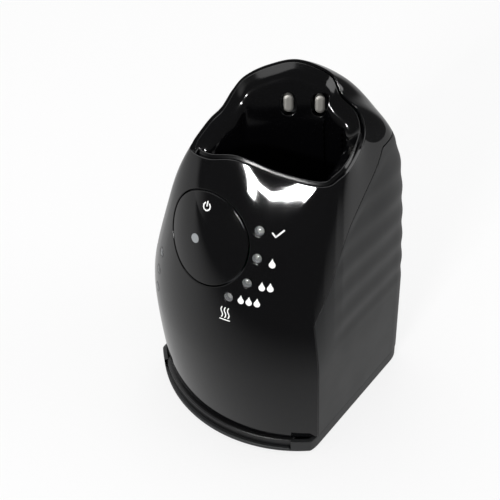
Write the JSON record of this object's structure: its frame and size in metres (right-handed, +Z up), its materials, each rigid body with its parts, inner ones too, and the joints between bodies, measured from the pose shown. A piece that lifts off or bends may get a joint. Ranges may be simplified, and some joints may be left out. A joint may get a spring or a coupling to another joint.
{
  "type": "shaver cleaning station",
  "caption": "Upright shaver cleaning station: gloss front with round start button and lamps, turned open cradle with charging contacts, ribbed rear shell, low base.",
  "frame": {"origin": "on the floor under the middle of the housing", "axes": "+Z up, -Y towards the control panel's side, +X to its right"},
  "size_m": [0.1276, 0.1282, 0.212],
  "materials": {
    "gloss_shell": "gloss",
    "satin_shell": "satin",
    "base_plastic": "satin",
    "rubber": "matte",
    "steel": "polished",
    "spring_steel": "satin",
    "white_plastic": "satin",
    "cartridge_plastic": "satin",
    "filter_felt": "matte",
    "seal_rubber": "matte",
    "dish_plastic": "gloss",
    "contact_metal": "polished",
    "button_plastic": "gloss",
    "lens_plastic": "clear",
    "circuit_board": "satin",
    "inner_plastic": "satin",
    "motor_steel": "satin",
    "hose_rubber": "satin",
    "heater_alloy": "matte",
    "lamp_white": "satin"
  },
  "bodies": {
    "base": {"base_tray": "base_plastic", "rubber_feet": "rubber", "guide_columns": "steel", "column_screws": "steel", "lift_springs": "spring_steel", "latch_hook": "white_plastic", "cartridge_body": "cartridge_plastic", "cartridge_lid": "cartridge_plastic", "cartridge_filter": "filter_felt", "port_seals": "seal_rubber"},
    "housing": {"front_shell": "gloss_shell", "rear_shell": "satin_shell", "cradle_liner": "dish_plastic", "cleaning_dish": "dish_plastic", "drain_sieve": "contact_metal", "drain_spigot": "inner_plastic", "contact_block": "inner_plastic", "contact_springs": "spring_steel", "button_guide": "white_plastic", "button_spring": "spring_steel", "button_switch": "inner_plastic", "program_lens_1": "lens_plastic", "program_lens_2": "lens_plastic", "program_lens_3": "lens_plastic", "program_lens_4": "lens_plastic", "level_lens_1": "lens_plastic", "level_lens_2": "lens_plastic", "level_lens_3": "lens_plastic", "lamp_chips": "lamp_white", "control_board": "circuit_board", "level_board": "circuit_board", "small_screws": "steel", "chassis": "inner_plastic", "chassis_screws": "steel", "pump_housing": "inner_plastic", "pump_motor": "motor_steel", "suction_spigot": "inner_plastic", "delivery_hose": "hose_rubber", "fan_housing": "inner_plastic", "fan_motor": "motor_steel", "heater": "heater_alloy", "power_socket": "inner_plastic", "socket_pins": "contact_metal", "lift_button_spring": "spring_steel"},
    "start_button": {"start_button": "button_plastic", "button_lens": "lens_plastic"},
    "left_contact": {"contact_pin_left": "contact_metal"},
    "right_contact": {"contact_pin_right": "contact_metal"},
    "impeller": {"pump_impeller": "white_plastic"},
    "fan": {"fan_wheel": "inner_plastic"},
    "lift_button": {"lift_button": "satin_shell"}
  },
  "joints": [
    {"name": "housing_lift", "type": "slide", "parent": "base", "child": "housing", "axis": [0, 0, 1], "range_m": [0, 0.044], "deforming": ["lift_springs", "latch_hook"]},
    {"name": "start_button_press", "type": "slide", "parent": "housing", "child": "start_button", "axis": [-0.0306, 0.951, -0.3078], "range_m": [0, 0.0012], "stiffness_N_per_m": 800, "springref_m": -0.001, "deforming": ["button_spring"]},
    {"name": "left_contact_press", "type": "slide", "parent": "housing", "child": "left_contact", "axis": [-0.682, 0.7314, 0], "range_m": [0, 0.0015], "stiffness_N_per_m": 400, "springref_m": -0.001, "deforming": ["contact_springs"]},
    {"name": "right_contact_press", "type": "slide", "parent": "housing", "child": "right_contact", "axis": [-0.682, 0.7314, 0], "range_m": [0, 0.0015], "stiffness_N_per_m": 400, "springref_m": -0.001, "deforming": ["contact_springs"]},
    {"name": "lift_button_press", "type": "slide", "parent": "housing", "child": "lift_button", "axis": [0, -1, 0], "range_m": [0, 0.002], "stiffness_N_per_m": 900, "springref_m": -0.001, "deforming": ["lift_button_spring", "latch_hook"]},
    {"name": "pump_impeller_spin", "type": "hinge", "parent": "housing", "child": "impeller", "pos_m": [-0.026, -0.007, 0.063], "axis": [0, 0, 1], "continuous": true},
    {"name": "fan_wheel_spin", "type": "hinge", "parent": "housing", "child": "fan", "pos_m": [-0.015, 0.038, 0.08], "axis": [0, 1, 0], "continuous": true}
  ]
}
